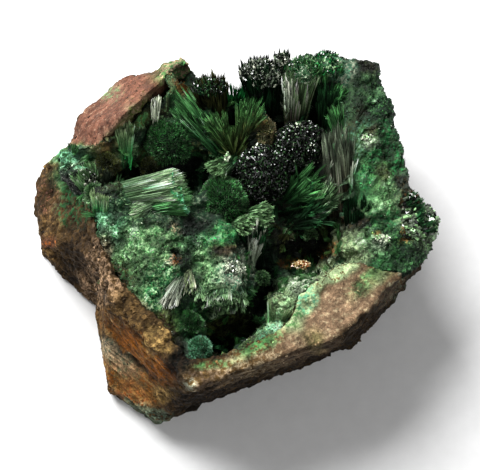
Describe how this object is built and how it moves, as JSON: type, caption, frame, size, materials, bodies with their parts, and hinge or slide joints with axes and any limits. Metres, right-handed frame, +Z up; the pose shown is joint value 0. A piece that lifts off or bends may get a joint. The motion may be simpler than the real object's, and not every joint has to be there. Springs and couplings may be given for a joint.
{
  "type": "mineral specimen",
  "caption": "Hand-sized broken block of brown ore rock whose open hollow is lined with green fibrous malachite sheaves and velvety domes.",
  "frame": {"origin": "middle of the footprint on the flat back that the specimen rests on", "axes": "+X along the longest side, towards the pointed corner of the green flank; +Y to the notched back edge; +Z up, out of the hollow"},
  "size_m": [0.0822, 0.0707, 0.0363],
  "materials": {
    "ore_rock": "rough earthy fracture, brown with reddish and tan faces",
    "malachite": "silky to velvety fibres, dark to bright green, with glossy tips"
  },
  "bodies": {
    "root": {"matrix": "ore_rock", "malachite_crust": "malachite"}
  },
  "joints": []
}
